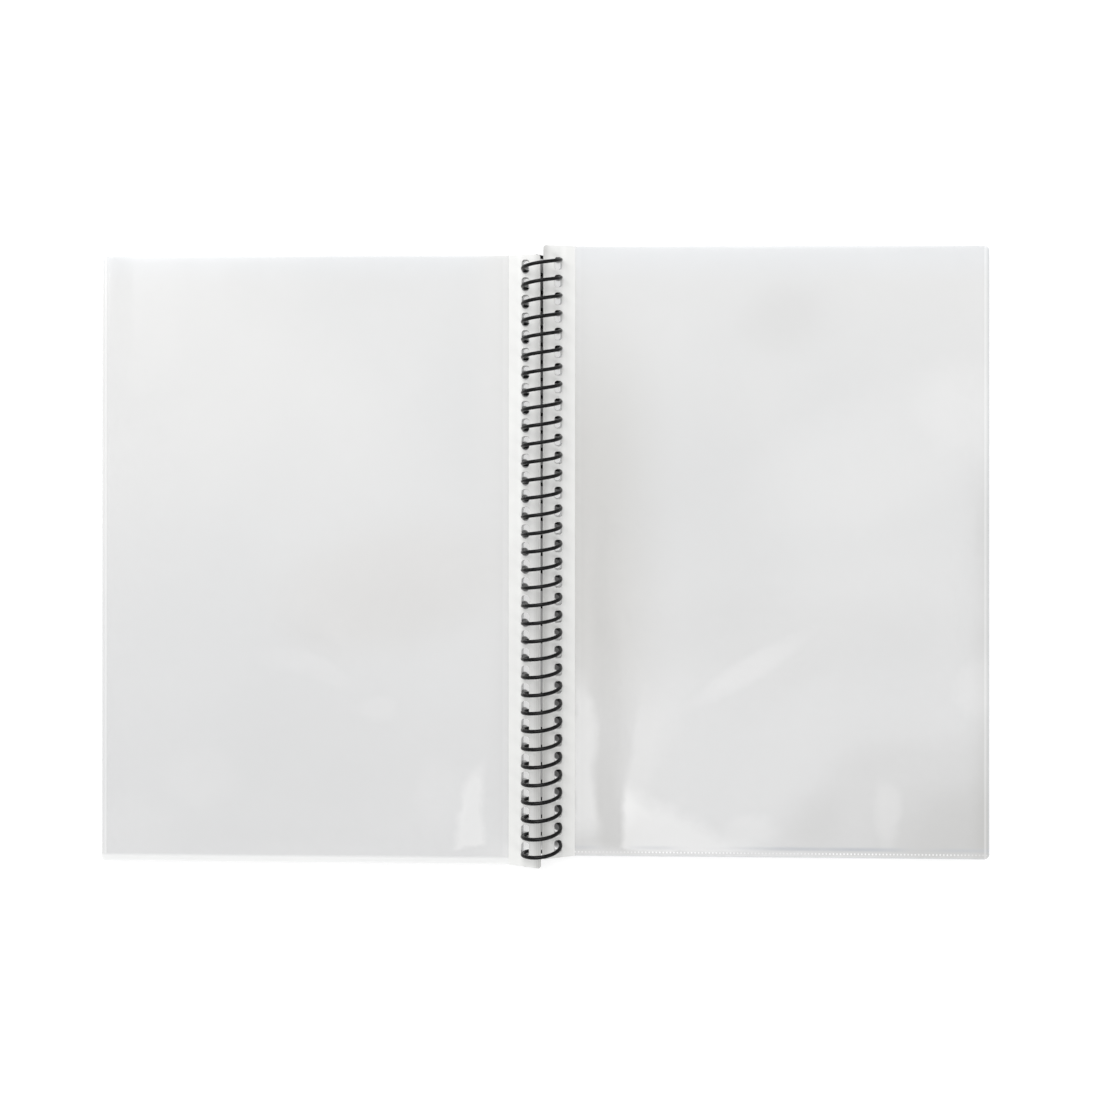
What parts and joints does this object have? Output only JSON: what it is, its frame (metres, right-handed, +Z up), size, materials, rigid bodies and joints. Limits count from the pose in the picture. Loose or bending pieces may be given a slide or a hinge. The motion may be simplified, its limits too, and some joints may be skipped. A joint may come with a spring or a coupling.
{
  "type": "display_book",
  "caption": "Coil-bound display book with clear plastic pockets, lying open flat",
  "frame": {"origin": "middle of the open book on the table: below the coil axis, halfway between the two page outlines", "axes": "+X across the right-hand page, +Y along the coil towards the page tops, +Z up out of the open pages"},
  "size_m": [0.3218, 0.2232, 0.015],
  "materials": {
    "coil_black": "nylon coat on steel wire, slight gloss",
    "strip_white": "milky polypropylene, satin",
    "film_clear": "clear polypropylene film, slightly cloudy",
    "cover_clear": "frosted polypropylene sheet, translucent"
  },
  "bodies": {
    "coil": {"coil": "coil_black"},
    "front_cover": {"front_cover": "cover_clear"},
    "back_cover": {"back_cover": "cover_clear"},
    "leaf_01": {"leaf_01_strip": "strip_white", "leaf_01_front_film": "film_clear", "leaf_01_back_film": "film_clear"},
    "leaf_02": {"leaf_02_strip": "strip_white", "leaf_02_front_film": "film_clear", "leaf_02_back_film": "film_clear"},
    "leaf_03": {"leaf_03_strip": "strip_white", "leaf_03_front_film": "film_clear", "leaf_03_back_film": "film_clear"},
    "leaf_04": {"leaf_04_strip": "strip_white", "leaf_04_front_film": "film_clear", "leaf_04_back_film": "film_clear"},
    "leaf_05": {"leaf_05_strip": "strip_white", "leaf_05_front_film": "film_clear", "leaf_05_back_film": "film_clear"},
    "leaf_06": {"leaf_06_strip": "strip_white", "leaf_06_front_film": "film_clear", "leaf_06_back_film": "film_clear"},
    "leaf_07": {"leaf_07_strip": "strip_white", "leaf_07_front_film": "film_clear", "leaf_07_back_film": "film_clear"},
    "leaf_08": {"leaf_08_strip": "strip_white", "leaf_08_front_film": "film_clear", "leaf_08_back_film": "film_clear"},
    "leaf_09": {"leaf_09_strip": "strip_white", "leaf_09_front_film": "film_clear", "leaf_09_back_film": "film_clear"},
    "leaf_10": {"leaf_10_strip": "strip_white", "leaf_10_front_film": "film_clear", "leaf_10_back_film": "film_clear"}
  },
  "joints": [
    {"name": "leaf_06_turn", "type": "hinge", "parent": "coil", "child": "leaf_06", "pos_m": [0, 0, 0.0075], "axis": [0, -1, 0], "range_deg": [0, 170]},
    {"name": "leaf_07_turn", "type": "hinge", "parent": "coil", "child": "leaf_07", "pos_m": [0, 0, 0.0075], "axis": [0, -1, 0], "range_deg": [0, 168.8]},
    {"name": "leaf_08_turn", "type": "hinge", "parent": "coil", "child": "leaf_08", "pos_m": [0, 0, 0.0075], "axis": [0, -1, 0], "range_deg": [0, 167.6]},
    {"name": "leaf_09_turn", "type": "hinge", "parent": "coil", "child": "leaf_09", "pos_m": [0, 0, 0.0075], "axis": [0, -1, 0], "range_deg": [0, 166.4]},
    {"name": "leaf_10_turn", "type": "hinge", "parent": "coil", "child": "leaf_10", "pos_m": [0, 0, 0.0075], "axis": [0, -1, 0], "range_deg": [0, 165.2]},
    {"name": "back_cover_turn", "type": "hinge", "parent": "coil", "child": "back_cover", "pos_m": [0, 0, 0.0075], "axis": [0, -1, 0], "range_deg": [0, 164]},
    {"name": "leaf_05_turn", "type": "hinge", "parent": "coil", "child": "leaf_05", "pos_m": [0, 0, 0.0075], "axis": [0, -1, 0], "range_deg": [-170, 0]},
    {"name": "leaf_04_turn", "type": "hinge", "parent": "coil", "child": "leaf_04", "pos_m": [0, 0, 0.0075], "axis": [0, -1, 0], "range_deg": [-168.8, 0]},
    {"name": "leaf_03_turn", "type": "hinge", "parent": "coil", "child": "leaf_03", "pos_m": [0, 0, 0.0075], "axis": [0, -1, 0], "range_deg": [-167.6, 0]},
    {"name": "leaf_02_turn", "type": "hinge", "parent": "coil", "child": "leaf_02", "pos_m": [0, 0, 0.0075], "axis": [0, -1, 0], "range_deg": [-166.4, 0]},
    {"name": "leaf_01_turn", "type": "hinge", "parent": "coil", "child": "leaf_01", "pos_m": [0, 0, 0.0075], "axis": [0, -1, 0], "range_deg": [-165.2, 0]},
    {"name": "front_cover_turn", "type": "hinge", "parent": "coil", "child": "front_cover", "pos_m": [0, 0, 0.0075], "axis": [0, -1, 0], "range_deg": [-164, 0]}
  ],
  "couplings": [
    {"joint": "leaf_07_turn", "follows": "leaf_06_turn", "ratio": 0.99294},
    {"joint": "leaf_08_turn", "follows": "leaf_06_turn", "ratio": 0.98588},
    {"joint": "leaf_09_turn", "follows": "leaf_06_turn", "ratio": 0.97882},
    {"joint": "leaf_10_turn", "follows": "leaf_06_turn", "ratio": 0.97176},
    {"joint": "back_cover_turn", "follows": "leaf_06_turn", "ratio": 0.96471},
    {"joint": "leaf_04_turn", "follows": "leaf_05_turn", "ratio": 0.99294},
    {"joint": "leaf_03_turn", "follows": "leaf_05_turn", "ratio": 0.98588},
    {"joint": "leaf_02_turn", "follows": "leaf_05_turn", "ratio": 0.97882},
    {"joint": "leaf_01_turn", "follows": "leaf_05_turn", "ratio": 0.97176},
    {"joint": "front_cover_turn", "follows": "leaf_05_turn", "ratio": 0.96471}
  ]
}
